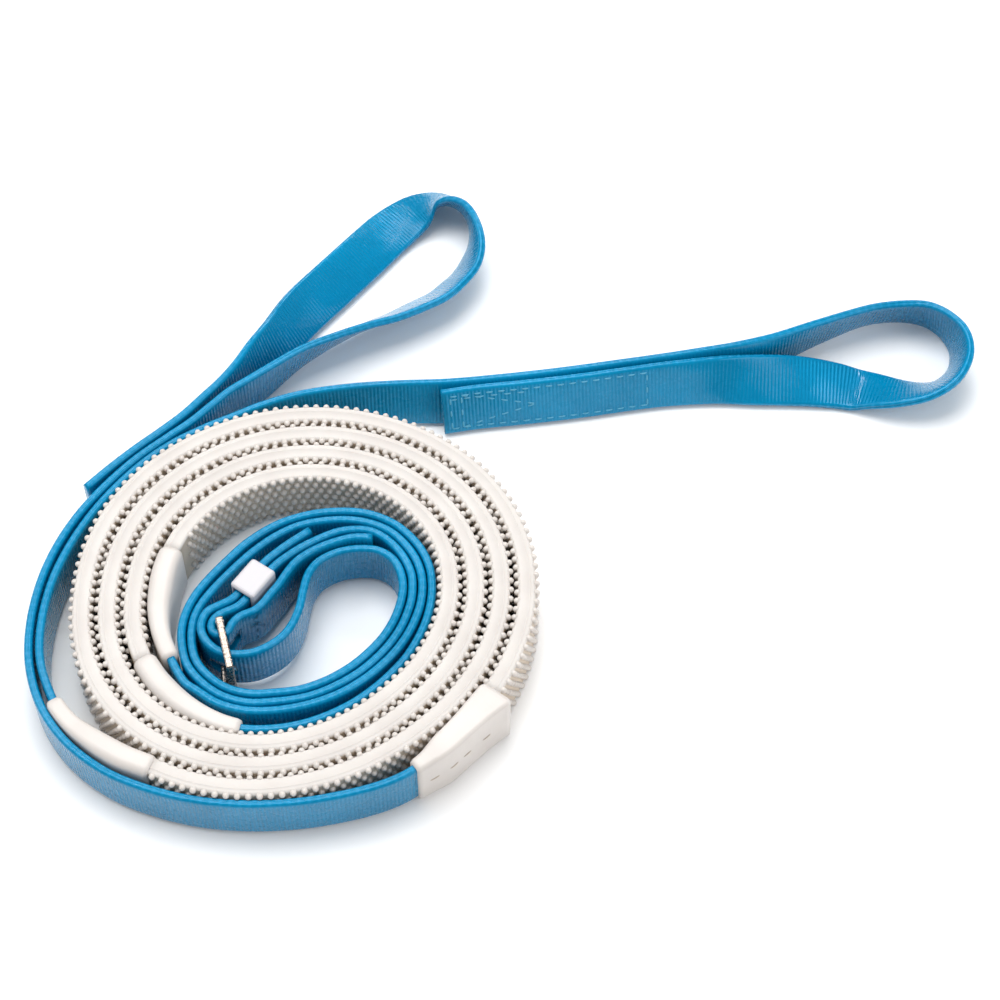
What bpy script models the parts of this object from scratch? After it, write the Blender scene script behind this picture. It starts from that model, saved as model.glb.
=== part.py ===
"""Pair of driving reins: coated-webbing straps with hand loops and pimpled rubber grips, coiled on edge.

Millimetres are used for every dimension and turned into metres where points are placed. The coil lies
flat on the floor with the straps standing on edge. X runs to the right, Y away from the front, Z up.
"""

import math

import bmesh
import bpy
from mathutils import Vector

MM = 0.001
SHIFT_X, SHIFT_Y = 62.1, 45.06

STRAP_WIDTH = 16.0
STRAP_THICK = 2.5
STRAP_STEP = 5.2
COIL_STEP = 7.5
FOLD_STEP = 1.4
NODE_GAP = 0.6

COIL_SQUASH = 0.94
COIL_PITCH = 7.45
RING_A, RING_B = 78.85, 71.4
GRIP_Z = 9.33
GRIP_HALF_THICK = 2.62
GRIP_HALF_TALL = 9.33
CORE_CLEAR = 0.14

BAR_X, BAR_Y = -23.8, -14.5
POST_X, POST_Y = -20.1, -29.0
BAR_RADIUS = 1.2
FRAME_LOW, FRAME_HIGH = 0.3, 20.7
RAIL_TALL, RAIL_WIDE = 1.8, 2.2
BUCKLE_Z = 10.5
TONGUE_RADIUS = 1.0

KEEPER_X, KEEPER_Y = -15.2, 0.2
KEEPER_DIR = (0.565, 0.825)
KEEPER_LONG, KEEPER_WIDE = 11.0, 8.6
KEEPER_LOW, KEEPER_HIGH = 0.6, 20.4
KEEPER_WALL_SIDE, KEEPER_WALL_TOP = 1.1, 1.2

# How far the wound turns stray outward from their base ring, by angle in degrees.
DRIFT = [
    (0, 0.0), (75, 0.0), (150, 0.0), (180, 0.3), (195, 1.8), (210, 3.5), (222, 4.2), (234, 3.9),
    (248, 2.4), (260, 0.2), (272, -2.7), (285, -5.9), (300, -9.4), (315, -11.8), (335, -13.7),
    (360, -14.9),
]

# Angle and radius of the two straps from their sewn loops round the left and front to their first caps.
LEAD_A = [
    (128, 72.3), (138, 72.0), (149, 72.4), (159, 73.7), (169, 75.4), (179, 77.4), (190, 80.0),
    (200, 82.5), (210, 84.2), (220, 84.5), (230, 83.3), (239, 81.2), (249, 78.8), (259, 76.5),
    (269, 74.6), (278, 73.4), (288, 72.7), (296, 71.7), (308, 68.9), (325, 66.1),
]
LEAD_B = [
    (118, 69.3), (128, 69.2), (138, 69.1), (149, 69.3), (159, 70.2), (169, 71.8), (179, 74.0),
    (190, 76.7), (200, 79.2), (210, 80.4), (215, 80.4), (220, 79.6), (230, 77.3), (238, 75.1),
]

# Hand loops: x, y, height of the middle and lean of the strap in degrees.
LOOP_A = [
    (-44.5, 53.6, 8.3, 0), (-38.0, 59.2, 8.3, 0), (-32.0, 65.6, 8.3, 0),
    (-26.9, 71.3, 8.3, 2), (-21.7, 75.4, 8.4, 3), (-16.6, 79.8, 8.4, 6), (-6.3, 89.4, 8.3, 18),
    (3.2, 95.9, 8.1, 28), (14.0, 102.2, 7.6, 37), (22.2, 106.1, 7.2, 42), (29.9, 110.6, 7.0, 45),
    (36.7, 114.9, 7.0, 45), (41.6, 120.2, 7.1, 43), (45.3, 125.4, 7.3, 38), (47.4, 132.5, 7.9, 26),
    (47.5, 141.0, 8.4, 4), (45.6, 147.8, 8.3, -14), (41.8, 152.6, 7.7, -34), (36.4, 155.0, 6.4, -55),
    (30.3, 153.6, 4.6, -76), (24.6, 149.3, 3.6, -92), (18.8, 142.8, 3.9, -104),
    (11.8, 133.2, 4.9, -114), (2.9, 121.7, 5.5, -119),
    (-6.8, 108.5, 6.7, -132), (-14.4, 95.8, 7.9, -150), (-20.2, 88.0, 8.3, -164),
    (-24.8, 81.3, 8.4, -174), (-29.6, 75.2, 8.3, -180), (-34.6, 69.0, 8.3, -180),
    (-40.2, 62.2, 8.3, -180), (-46.5, 56.0, 8.3, -180), (-53.5, 49.6, 8.3, -180),
    (-60.5, 42.6, 8.3, -180), (-67.4, 35.0, 8.3, -180),
]
LOOP_B = [
    (38.5, 68.0, 8.3, -20), (49.0, 69.9, 8.3, -20), (63.5, 71.7, 8.3, -20), (80.9, 74.2, 8.3, -20),
    (98.0, 77.2, 8.3, -20), (109.2, 79.0, 8.2, -22), (124.6, 80.6, 8.0, -30), (134.8, 81.4, 7.0, -44),
    (144.4, 82.2, 5.7, -57), (153.1, 82.6, 4.3, -70), (162.0, 82.3, 2.7, -82),
    (167.9, 81.3, 1.9, -91), (172.9, 79.9, 3.0, -100), (178.4, 78.2, 4.3, -110),
    (183.0, 77.3, 5.3, -119), (187.8, 77.1, 6.2, -128), (191.9, 78.0, 7.0, -137),
    (195.8, 80.3, 7.6, -146), (199.0, 84.2, 8.1, -155), (200.8, 88.7, 8.3, -163),
    (201.0, 94.1, 8.4, -172), (199.6, 98.7, 8.3, -181), (196.3, 103.2, 8.4, -189),
    (191.1, 106.6, 8.4, -195), (183.3, 107.6, 8.3, -199), (173.9, 106.3, 8.3, -199),
    (164.7, 102.7, 8.4, -195), (153.1, 97.4, 8.4, -188), (141.8, 91.8, 8.3, -178),
    (130.5, 87.4, 8.4, -168), (118.8, 84.5, 8.3, -162), (109.4, 82.5, 8.3, -160),
    (92.3, 79.5, 8.3, -160), (75.1, 76.6, 8.3, -160), (57.8, 74.2, 8.3, -160), (40.4, 72.3, 8.3, -160),
    (25.5, 71.9, 8.3, -163), (10.2, 71.0, 8.4, -168), (-4.9, 68.8, 8.4, -173),
    (-16.9, 64.9, 8.4, -177), (-25.9, 60.8, 8.3, -180),
]

# Inner turns and buckled ends, wound inside the grips.
INNER_A = [
    (-9.2, -47.3), (-0.8, -46.1), (6.9, -43.4), (14.2, -39.4), (20.2, -34.7), (25.1, -29.7), (29.4, -24.2),
    (32.7, -18.0), (34.9, -12.1), (36.2, -5.9), (36.5, -0.3), (35.8, 6.0), (33.6, 11.9), (30.0, 17.1),
    (24.8, 21.9), (17.8, 25.2), (11.6, 26.2), (3.9, 25.9), (-3.0, 24.3), (-10.1, 21.3), (-17.9, 15.4),
    (-23.5, 9.1), (-29.9, 0.7), (-33.2, -5.5), (-35.0, -12.2), (-34.9, -18.5), (-32.9, -25.9),
    (-28.2, -31.9), (-22.3, -36.2), (-15.0, -38.4), (-8.0, -38.2), (-0.3, -37.1), (5.7, -35.1),
    (11.8, -31.8), (16.4, -28.5), (20.9, -24.1), (24.4, -19.7), (27.3, -14.8), (29.1, -10.3), (30.5, -4.9),
    (30.8, 0.1),
]
BUCKLE_END = [
    (30.4, 4.2), (28.7, 8.8), (25.7, 13.4), (21.6, 17.2), (17.2, 19.1), (12.3, 19.0), (7.5, 17.7),
    (0.1, 13.7), (-5.0, 10.0), (-9.72, 5.54), (-13.96, -0.65), (-18.2, -6.84), (-20.6, -8.7),
    (-23.2, -9.9), (-25.4, -11.5), (-26.4, -13.6), (-26.3, -15.7), (-24.8, -17.15), (-22.6, -17.05),
    (-21.2, -15.4), (-20.4, -13.3), (-18.1, -11.0), (-14.5, -9.3), (-12.2, -6.9), (-10.0, -3.5),
    (-8.0, -0.6), (-6.0, 3.1), (-3.4, 7.2), (0.3, 10.4), (4.6, 12.9), (8.5, 14.5), (13.2, 15.8),
    (18.7, 15.7),
]
INNER_B = [
    (-33.1, -32.1), (-29.2, -35.0), (-23.4, -38.9), (-16.0, -41.2), (-8.3, -41.4), (-0.7, -40.2),
    (6.0, -38.1), (12.3, -35.0), (18.0, -30.9), (22.6, -26.5), (26.6, -21.6), (29.8, -16.2), (31.9, -11.0),
    (33.3, -5.6), (33.7, 0.1), (33.1, 5.0), (31.2, 10.2), (27.6, 15.5), (23.4, 19.4), (17.6, 22.1),
    (11.4, 23.2), (4.4, 22.9), (-3.1, 21.2), (-9.9, 17.4), (-15.8, 12.4), (-21.0, 6.7), (-27.0, -1.0),
    (-30.3, -6.4), (-32.0, -11.7), (-32.0, -18.7), (-30.3, -24.8), (-26.5, -29.7), (-21.0, -33.7),
    (-14.3, -35.5), (-7.3, -35.2), (-0.3, -34.2), (5.6, -32.0), (10.4, -29.3), (14.9, -25.9),
    (18.9, -21.9), (22.4, -17.5), (24.8, -13.3), (26.6, -8.7), (27.7, -4.0), (28.0, 0.2),
]
BILLET = [
    (27.2, 5.0), (24.9, 9.4), (21.0, 12.2), (16.8, 13.0), (11.3, 12.4), (6.7, 10.6), (2.8, 7.6),
    (0.4, 3.3), (-0.7, -2.2), (-1.6, -8.5), (-3.9, -15.0), (-7.4, -19.4), (-12.8, -22.8), (-17.6, -23.8),
    (-22.4, -23.3), (-26.1, -21.1), (-28.9, -17.1), (-29.4, -13.7), (-27.9, -9.6), (-24.2, -7.3),
    (-20.76, -5.09), (-16.52, 1.1), (-12.28, 7.29), (-7.4, 12.1), (-3.6, 15.2), (0.3, 18.2),
]


def hermite(x, keys, values):
    """Smooth value at x on a curve through keyed values."""
    last = len(keys) - 1
    k = 0
    while k < last - 1 and x > keys[k + 1]:
        k += 1

    def slope(i):
        low, high = max(i - 1, 0), min(i + 1, last)
        return (values[high] - values[low]) / (keys[high] - keys[low])

    span = keys[k + 1] - keys[k]
    s = (x - keys[k]) / span
    first = (1 + 2 * s) * (1 - s) ** 2 * values[k] + s * (1 - s) ** 2 * span * slope(k)
    return first + s * s * (3 - 2 * s) * values[k + 1] - s * s * (1 - s) * span * slope(k + 1)


def resample(points, step, ends=(0.0, 0.0)):
    """Evenly spaced stations on a smooth curve through the points, trimmed at its ends."""
    keys = [0.0]
    for a, b in zip(points, points[1:]):
        keys.append(keys[-1] + math.dist(a[:3], b[:3]))
    rows = list(zip(*points))

    def at(t):
        return [hermite(t, keys, row) for row in rows]

    fine = [at(keys[-1] * i / 1500) for i in range(1501)]
    lengths = [0.0]
    for a, b in zip(fine, fine[1:]):
        lengths.append(lengths[-1] + math.dist(a[:3], b[:3]))
    start, stop = ends[0], lengths[-1] - ends[1]
    count = max(2, round((stop - start) / step))
    stations, k = [], 0
    for i in range(count + 1):
        wanted = start + (stop - start) * i / count
        while k < 1499 and lengths[k + 1] < wanted:
            k += 1
        f = (wanted - lengths[k]) / max(lengths[k + 1] - lengths[k], 1e-9)
        stations.append([p + (q - p) * f for p, q in zip(fine[k], fine[k + 1])])
    return stations


def oval(angle, radius, z=GRIP_Z):
    a = math.radians(angle)
    return (radius * math.cos(a), COIL_SQUASH * radius * math.sin(a), z, 0)


def ring_radius(turned, base):
    """Radius of a grip that has been wound this many degrees, counted from the +X side."""
    turns, angle = divmod(turned, 360)
    return base - 2 * COIL_PITCH * turns + hermite(angle, [k for k, _ in DRIFT], [d for _, d in DRIFT])


def coil(base, first, last, every=6.0):
    count = round((last - first) / every)
    angles = [first + (last - first) * i / count for i in range(count + 1)]
    return [oval(a, ring_radius(a, base)) for a in angles]


def flat_route(points, low=GRIP_Z, high=GRIP_Z, rise=(0, 1)):
    """Gives plan points a height that goes from low to high between two fractions of the route."""
    route = []
    for i, (x, y) in enumerate(points):
        f = (i / (len(points) - 1) - rise[0]) / (rise[1] - rise[0])
        f = min(max(f, 0.0), 1.0)
        route.append((x, y, low + (high - low) * f * f * (3 - 2 * f), 0))
    return route


def lead_route(keys):
    route = [oval(angle, radius) for angle, radius in keys]
    count = len(route) - 1
    return [(x, y, 8.3 + (GRIP_Z - 8.3) * min(1, 1.6 * i / count), 0) for i, (x, y, _, _) in enumerate(route)]


def place(x, y, z):
    return Vector(((x - SHIFT_X) * MM, (y - SHIFT_Y) * MM, z * MM))


def frames(stations):
    """Middle, width direction and thickness direction of the strap at each station."""
    found = []
    last = len(stations) - 1
    for i, (x, y, z, lean) in enumerate(stations):
        a, b = stations[max(i - 1, 0)], stations[min(i + 1, last)]
        run = Vector((b[0] - a[0], b[1] - a[1], b[2] - a[2])).normalized()
        side = run.cross(Vector((0, 0, 1))).normalized()
        up = side.cross(run).normalized()
        turn = math.radians(lean)
        across = up * math.cos(turn) + side * math.sin(turn)
        out = run.cross(across).normalized()
        found.append((Vector((x, y, z)), across, out))
    return found


def node(name, bm, material):
    mesh = bpy.data.meshes.new(name)
    bmesh.ops.recalc_face_normals(bm, faces=bm.faces)
    bm.to_mesh(mesh)
    bm.free()
    obj = bpy.data.objects.new(name, mesh)
    obj.data.materials.append(material)
    reins.objects.link(obj)
    return obj


def ribbon(name, stations, material, rows=(-8.0, 8.0), taper=0, thick=STRAP_THICK, away=0.0, open_cells=()):
    """A strap swept along its stations and thickened by Solidify; open_cells leaves quads out."""
    bm = bmesh.new()
    grid = []
    last = len(stations) - 1
    for i, (middle, across, out) in enumerate(frames(stations)):
        narrow = 0.5 if taper and i == last else 1.0
        line = [middle + out * away + across * (v * narrow) for v in rows]
        grid.append([bm.verts.new(place(*p)) for p in line])
    for i in range(last):
        for j in range(len(rows) - 1):
            if (i, j) not in open_cells:
                bm.faces.new((grid[i][j], grid[i + 1][j], grid[i + 1][j + 1], grid[i][j + 1]))
    obj = node(name, bm, material)
    solid = obj.modifiers.new("thickness", "SOLIDIFY")
    solid.thickness = thick * MM
    solid.offset = 0
    solid.use_even_offset = True
    return obj


def sleeve(name, stations, material, outline):
    """A hollow tube round the strap. outline gives the half thickness, low and high edge at a fraction."""
    bm = bmesh.new()
    inside_u = STRAP_THICK / 2 + CORE_CLEAR
    inside_v = STRAP_WIDTH / 2 + CORE_CLEAR
    rings = []
    last = len(stations) - 1
    for i, (middle, across, out) in enumerate(frames(stations)):
        u, low, high = outline(i / last)
        c = min(1.3, u - 0.9)
        outer = [
            (u, low + c), (u, high - c), (u - c, high), (c - u, high),
            (-u, high - c), (-u, low + c), (c - u, low), (u - c, low),
        ]
        inner = [(inside_u, -inside_v), (inside_u, inside_v), (-inside_u, inside_v), (-inside_u, -inside_v)]
        rings.append([
            [bm.verts.new(place(*(middle + out * a + across * b))) for a, b in loop]
            for loop in (outer, inner)
        ])
    for first, second in zip(rings, rings[1:]):
        for one, two in zip(first, second):
            for k in range(len(one)):
                n = (k + 1) % len(one)
                bm.faces.new((one[k], one[n], two[n], two[k]))
    for outer, inner in (rings[0], rings[-1]):
        for k in range(4):
            a, b, c = outer[2 * k], outer[2 * k + 1], outer[(2 * k + 2) % 8]
            bm.faces.new((a, b, inner[(k + 1) % 4], inner[k]))
            bm.faces.new((b, c, inner[(k + 1) % 4]))
    return node(name, bm, material)


def boolean(target, tool, operation):
    cut = target.modifiers.new(operation.lower(), "BOOLEAN")
    cut.operation = operation
    cut.solver = "EXACT"
    cut.object = tool
    tool.hide_render = True
    tool.display_type = "WIRE"
    for group in list(tool.users_collection):
        group.objects.unlink(tool)
    cutters.objects.link(tool)


def box(name, size, middle, heading, material=None):
    bm = bmesh.new()
    bmesh.ops.create_cube(bm, size=1)
    bmesh.ops.scale(bm, vec=[s * MM for s in size], verts=bm.verts)
    obj = node(name, bm, material or silver)
    obj.location = place(*middle)
    obj.rotation_euler = (0, 0, heading)
    return obj


def rod(name, radius, length, middle, pitch=0.0, heading=0.0, sides=24):
    bm = bmesh.new()
    bmesh.ops.create_cone(
        bm, cap_ends=True, segments=sides, radius1=radius * MM, radius2=radius * MM, depth=length * MM
    )
    obj = node(name, bm, silver)
    obj.location = place(*middle)
    obj.rotation_euler = (0, pitch, heading)
    return obj


def finish(name, color, roughness, metallic=0.0):
    made = bpy.data.materials.new(name)
    made.use_nodes = True
    shader = made.node_tree.nodes["Principled BSDF"]
    shader.inputs["Base Color"].default_value = (*color, 1)
    shader.inputs["Roughness"].default_value = roughness
    shader.inputs["Metallic"].default_value = metallic
    return made


def grip_outline(_):
    return GRIP_HALF_THICK, -GRIP_HALF_TALL, GRIP_HALF_TALL


def cap_outline(thick_first):
    """Full at the grip end and slim at the strap end."""
    def outline(f):
        full = 1 - f if thick_first else f
        s = min(1.0, max(0.0, (full - 0.15) / 0.6))
        s = s * s * (3 - 2 * s)
        lip = 0.35 if full in (0, 1) else 0.0
        return 2.5 + 1.05 * s - lip, -9.0 - 0.3 * s + lip, 9.0 + 0.9 * s - lip
    return outline


def seam(name, stations, lift, first_row, last_row):
    """A closed rectangle of stitching on the strap's face, drawn as one fine raised band."""
    last = len(stations) - 1
    inside = {(i, 1) for i in range(1, last - 1)}
    rows = (first_row, first_row + 0.7, last_row - 0.7, last_row)
    return ribbon(name, stations, thread, rows, thick=0.3, away=lift, open_cells=inside)


for old in list(bpy.data.objects):
    bpy.data.objects.remove(old)
reins = bpy.data.collections.new("driving_reins")
cutters = bpy.data.collections.new("cutters")
bpy.context.scene.collection.children.link(reins)
bpy.context.scene.collection.children.link(cutters)

blue = finish("blue_coated_webbing", (0.0, 0.19, 0.5), 0.3)
rubber = finish("cream_rubber", (0.88, 0.84, 0.76), 0.55)
silver = finish("cast_buckle_metal", (0.62, 0.56, 0.52), 0.25, 1.0)
white = finish("white_plastic", (0.78, 0.77, 0.78), 0.35)
thread = finish("teal_thread", (0.25, 0.62, 0.75), 0.6)

# Rein A: hand loop, lead, grip with its two caps, inner turns and the end folded round the buckle bar.
half = NODE_GAP / 2
route_a = [LOOP_A[0]] + lead_route(LEAD_A)
core_a = coil(RING_A, 325, 931)
exit_a = [oval(a, r) for a, r in ((931, 52.6), (941, 53.1), (951, 53.4), (961, 53.2), (971, 52.7))]
inner_a = exit_a + flat_route(INNER_A, GRIP_Z, 8.6, (0, 0.4))
end_a = [(*INNER_A[-1], 8.6, 0)] + flat_route(BUCKLE_END, 8.6, BUCKLE_Z, (0.05, 0.25))
ribbon("strap_a_hand_loop", resample(LOOP_A, STRAP_STEP, (half, 0)), blue)
lead_a = resample(route_a, STRAP_STEP, (half, half))
ribbon("strap_a_lead", lead_a, blue)
ribbon("strap_a_grip_core", resample(core_a, COIL_STEP, (half, half)), blue)
turns_a = resample(inner_a, STRAP_STEP, (half, half))
ribbon("strap_a_inner_turns", turns_a, blue)
buckle_end = ribbon("strap_a_buckle_end", resample(end_a, FOLD_STEP, (half, 0)), blue)

# Rein B: hand loop, lead, grip with its two caps, inner turns and the plain punched end.
route_b = [(*LOOP_B[-1][:3], 0)] + lead_route(LEAD_B)
core_b = coil(RING_B, 238, 883)
exit_b = [oval(a, ring_radius(a, RING_B)) for a in (883, 893, 903, 913, 923, 933)]
inner_b = exit_b + flat_route(INNER_B, GRIP_Z, 8.6, (0, 0.4))
end_b = [(*INNER_B[-1], 8.6, 0)] + flat_route(BILLET, 8.6, BUCKLE_Z, (0.05, 0.45))
ribbon("strap_b_hand_loop", resample(LOOP_B, STRAP_STEP, (0, half)), blue)
lead_b = resample(route_b, STRAP_STEP, (half, half))
ribbon("strap_b_lead", lead_b, blue)
ribbon("strap_b_grip_core", resample(core_b, COIL_STEP, (half, half)), blue)
turns_b = resample(inner_b, STRAP_STEP, (half, half))
ribbon("strap_b_inner_turns", turns_b, blue)
billet = ribbon("strap_b_billet", resample(end_b, 3.5, (half, 0)), blue, taper=1)

# Pimpled sleeves, and smooth caps that cover each end of a sleeve.
sleeve("grip_a", resample(core_a, COIL_STEP, (NODE_GAP, NODE_GAP)), rubber, grip_outline)
sleeve("grip_b", resample(core_b, COIL_STEP, (NODE_GAP, NODE_GAP)), rubber, grip_outline)
sleeve("cap_a_outer", lead_a[-8:], rubber, cap_outline(False))
sleeve("cap_a_inner", turns_a[:8], rubber, cap_outline(True))
sleeve("cap_b_outer", lead_b[-8:], rubber, cap_outline(False))
sleeve("cap_b_inner", turns_b[:8], rubber, cap_outline(True))

# Buckle: a cast frame with its bar, which the end of rein A folds round, and a tongue on the bar.
length = math.hypot(POST_X - BAR_X, POST_Y - BAR_Y)
heading = math.atan2(POST_Y - BAR_Y, POST_X - BAR_X)
along = (math.cos(heading), math.sin(heading))


def beside_bar(distance, off=0.0, z=BUCKLE_Z):
    return BAR_X + along[0] * distance + along[1] * off, BAR_Y + along[1] * distance - along[0] * off, z


tall = FRAME_HIGH - FRAME_LOW
frame_box = box("buckle_frame", (length + 2.6, RAIL_WIDE, tall), beside_bar(length / 2 - 0.2), heading)
window = box("frame_window", (length + 4, 6, tall - 2 * RAIL_TALL), beside_bar(length / 2 - 3.1), heading)
boolean(frame_box, window, "DIFFERENCE")
soften = frame_box.modifiers.new("soft_edges", "BEVEL")
soften.width = 0.45 * MM
soften.segments = 2
bar = rod("frame_bar", BAR_RADIUS, tall - 1.0, (BAR_X, BAR_Y, BUCKLE_Z))
boolean(frame_box, bar, "UNION")

reach = length
lean = math.asin(2.25 / length)
pin_heading = heading - lean
pin_along = (math.cos(pin_heading), math.sin(pin_heading))
eye = rod("buckle_tongue", 2.6, 2.2, (BAR_X, BAR_Y, BUCKLE_Z))
pin_middle = (BAR_X + pin_along[0] * (reach + 1.9) / 2, BAR_Y + pin_along[1] * (reach + 1.9) / 2, BUCKLE_Z)
pin = rod("tongue_pin", TONGUE_RADIUS, reach - 1.9, pin_middle, math.pi / 2, pin_heading, 16)
boolean(eye, pin, "UNION")
eye_bore = rod("tongue_bore", BAR_RADIUS + 0.09, 6, (BAR_X, BAR_Y, BUCKLE_Z))
boolean(eye, eye_bore, "DIFFERENCE")

# Slot in the folded end for the tongue's eye, and the punched slot in the billet for the tongue.
fold_slot = rod("fold_slot", 5.0, 3.0, (BAR_X, BAR_Y, BUCKLE_Z))
boolean(buckle_end, fold_slot, "DIFFERENCE")
cross = (BAR_X + pin_along[0] * 9.4, BAR_Y + pin_along[1] * 9.4, BUCKLE_Z)
billet_slot = box("billet_slot", (7.0, 7.0, 3.0), cross, pin_heading + math.pi / 2)
boolean(billet, billet_slot, "DIFFERENCE")

# Keeper: a rounded plastic box that both straps pass through.
turn = math.atan2(KEEPER_DIR[1], KEEPER_DIR[0])
middle = (KEEPER_X, KEEPER_Y, (KEEPER_LOW + KEEPER_HIGH) / 2)
tall = KEEPER_HIGH - KEEPER_LOW
keeper = box("keeper", (KEEPER_LONG, KEEPER_WIDE, tall), middle, turn, white)
rounding = keeper.modifiers.new("rounding", "BEVEL")
rounding.width = 1.0 * MM
rounding.segments = 3
inside = (KEEPER_LONG + 4, KEEPER_WIDE - 2 * KEEPER_WALL_SIDE, tall - 2 * KEEPER_WALL_TOP)
boolean(keeper, box("keeper_inside", inside, middle, turn), "DIFFERENCE")

# Box stitching that closes each hand loop.
sewn_a = resample(LOOP_A, STRAP_STEP, (half, 0))[-12:]
seam("loop_a_stitching", sewn_a, -(STRAP_THICK / 2 + 0.3), -6.2, 6.2)
sewn_b = resample(LOOP_B, STRAP_STEP, (0, half))[:14]
seam("loop_b_stitching", sewn_b, STRAP_THICK / 2 + 0.3, -6.2, 6.2)
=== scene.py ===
"""A coiled pair of driving reins: coated webbing, pimpled cream rubber grips, cast buckle and keeper."""

import bisect
import math

import bmesh
import bpy
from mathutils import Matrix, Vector


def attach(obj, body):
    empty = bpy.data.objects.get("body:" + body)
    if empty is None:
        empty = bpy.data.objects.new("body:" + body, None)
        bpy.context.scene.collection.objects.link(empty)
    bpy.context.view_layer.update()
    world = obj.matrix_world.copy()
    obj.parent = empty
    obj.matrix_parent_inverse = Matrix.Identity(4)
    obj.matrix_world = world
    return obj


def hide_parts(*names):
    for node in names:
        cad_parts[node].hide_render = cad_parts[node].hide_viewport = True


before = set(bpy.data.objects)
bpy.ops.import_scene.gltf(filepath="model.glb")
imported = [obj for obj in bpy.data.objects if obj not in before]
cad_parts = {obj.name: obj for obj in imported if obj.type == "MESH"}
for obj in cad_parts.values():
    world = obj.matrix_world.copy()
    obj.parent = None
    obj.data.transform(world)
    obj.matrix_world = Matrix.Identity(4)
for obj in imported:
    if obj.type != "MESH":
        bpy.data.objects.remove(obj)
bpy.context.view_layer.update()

MM = 0.001

# ---------------------------------------------------------------- camera, 56 degrees above the floor
camera = bpy.data.objects.new("camera", bpy.data.cameras.new("camera"))
bpy.context.scene.collection.objects.link(camera)
camera.location = (-0.0059, -0.41076, 0.6027)
camera.rotation_euler = (math.radians(90 - 56), 0, 0)
camera.data.lens = 85.7
camera.data.sensor_width = 36
camera.data.clip_start = 0.01
bpy.context.scene.camera = camera

# ---------------------------------------------------------------- sizes and routes, in millimetres
# The coil's own middle lies this far from the middle of the whole object.
SHIFT_X, SHIFT_Y = 62.1, 45.06

STRAP_WIDTH, STRAP_THICK, STRAP_ROUND, STRAP_STEP = 16.0, 2.5, 1.05, 1.5
STRAP_GROOVE = 7.72
# Points in each rounded corner of an outline.
CORNER_POINTS = 5
COIL_SQUASH, COIL_PITCH = 0.94, 7.45
RING_A, RING_B = 78.85, 71.4

# Angles between which each grip is wound, in degrees.
WOUND_A, WOUND_B = (325, 931), (238, 883)

# Heights of the strap's middle in the loops, the grips, the inner turns and the buckle.
LOOP_Z, GRIP_Z, INNER_Z, BUCKLE_Z = 8.3, 9.33, 8.6, 10.5
GRIP_HALF_THICK, GRIP_HALF_TALL, GRIP_ROUND, GRIP_STEP = 2.62, 9.33, 1.0, 2.4
RIDGE_TALL = 0.14

PIMPLE_PITCH, PIMPLE_ROW, PIMPLE_TALL = 2.96, 2.8, 1.12
PIMPLE_ROWS, PIMPLE_SIDES, PIMPLE_INSET = 7, 8, 1.5
# Radius of a pimple and height above the grip, from its sunk root to its shoulder.
PIMPLE_RINGS = ((1.02, -0.6), (0.9, 0.55), (0.48, 1.0))

# A cap's half thickness and half height on the strap, then what each gains over the grip.
CAP_HALF_THICK, CAP_THICKER = 2.5, 1.1
CAP_HALF_TALL, CAP_LOWER, CAP_HIGHER = 9.0, 0.3, 0.95
# How far the cap's middle stands out in a soft crown.
CAP_CROWN = 0.1
CAP_ROUND, CAP_STEP, CAP_LONG, CAP_SHORT = 1.5, 1.2, 37.0, 32.5
# Length over which a cap's ends pull in, the share of its thickness, and how much of that its height takes.
END_LONG, END_PULL, END_NARROW = 1.6, 0.14, 0.3
# Radius of the turn that the flat outer face of cap A cuts straight across.
CAP_TURN = 66.0

BAR_X, BAR_Y, POST_X, POST_Y = -23.8, -14.5, -20.1, -29.0
# The tongue lies this far to one side of the frame's end post.
TONGUE_ASIDE = 2.25
FOLD_SLOT_RADIUS, SLOT_TALL, BILLET_SLOT, BILLET_SLOT_FROM_BAR = 5.0, 3.0, 7.0, 9.4

# Angle and radius where strap A leaves its grip, and the angles where strap B does.
EXIT_A = [(931, 52.6), (941, 53.1), (951, 53.4), (961, 53.2), (971, 52.7)]
EXIT_B = [883, 893, 903, 913, 923, 933]

# How far the wound turns stray outward from their base ring, by angle in degrees.
DRIFT = [
    (0, 0.0), (75, 0.0), (150, 0.0), (180, 0.3), (195, 1.8), (210, 3.5), (222, 4.2), (234, 3.9),
    (248, 2.4), (260, 0.2), (272, -2.7), (285, -5.9), (300, -9.4), (315, -11.8), (335, -13.7),
    (360, -14.9),
]

# Angle and radius of the two straps from their sewn loops round the left and front to their first caps.
LEAD_A = [
    (128, 72.3), (138, 72.0), (149, 72.4), (159, 73.7), (169, 75.4), (179, 77.4), (190, 80.0),
    (200, 82.5), (210, 84.2), (220, 84.5), (230, 83.3), (239, 81.2), (249, 78.8), (259, 76.5),
    (269, 74.6), (278, 73.4), (288, 72.7), (296, 71.7), (308, 68.9), (325, 66.1),
]

LEAD_B = [
    (118, 69.3), (128, 69.2), (138, 69.1), (149, 69.3), (159, 70.2), (169, 71.8), (179, 74.0),
    (190, 76.7), (200, 79.2), (210, 80.4), (215, 80.4), (220, 79.6), (230, 77.3), (238, 75.1),
]

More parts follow.
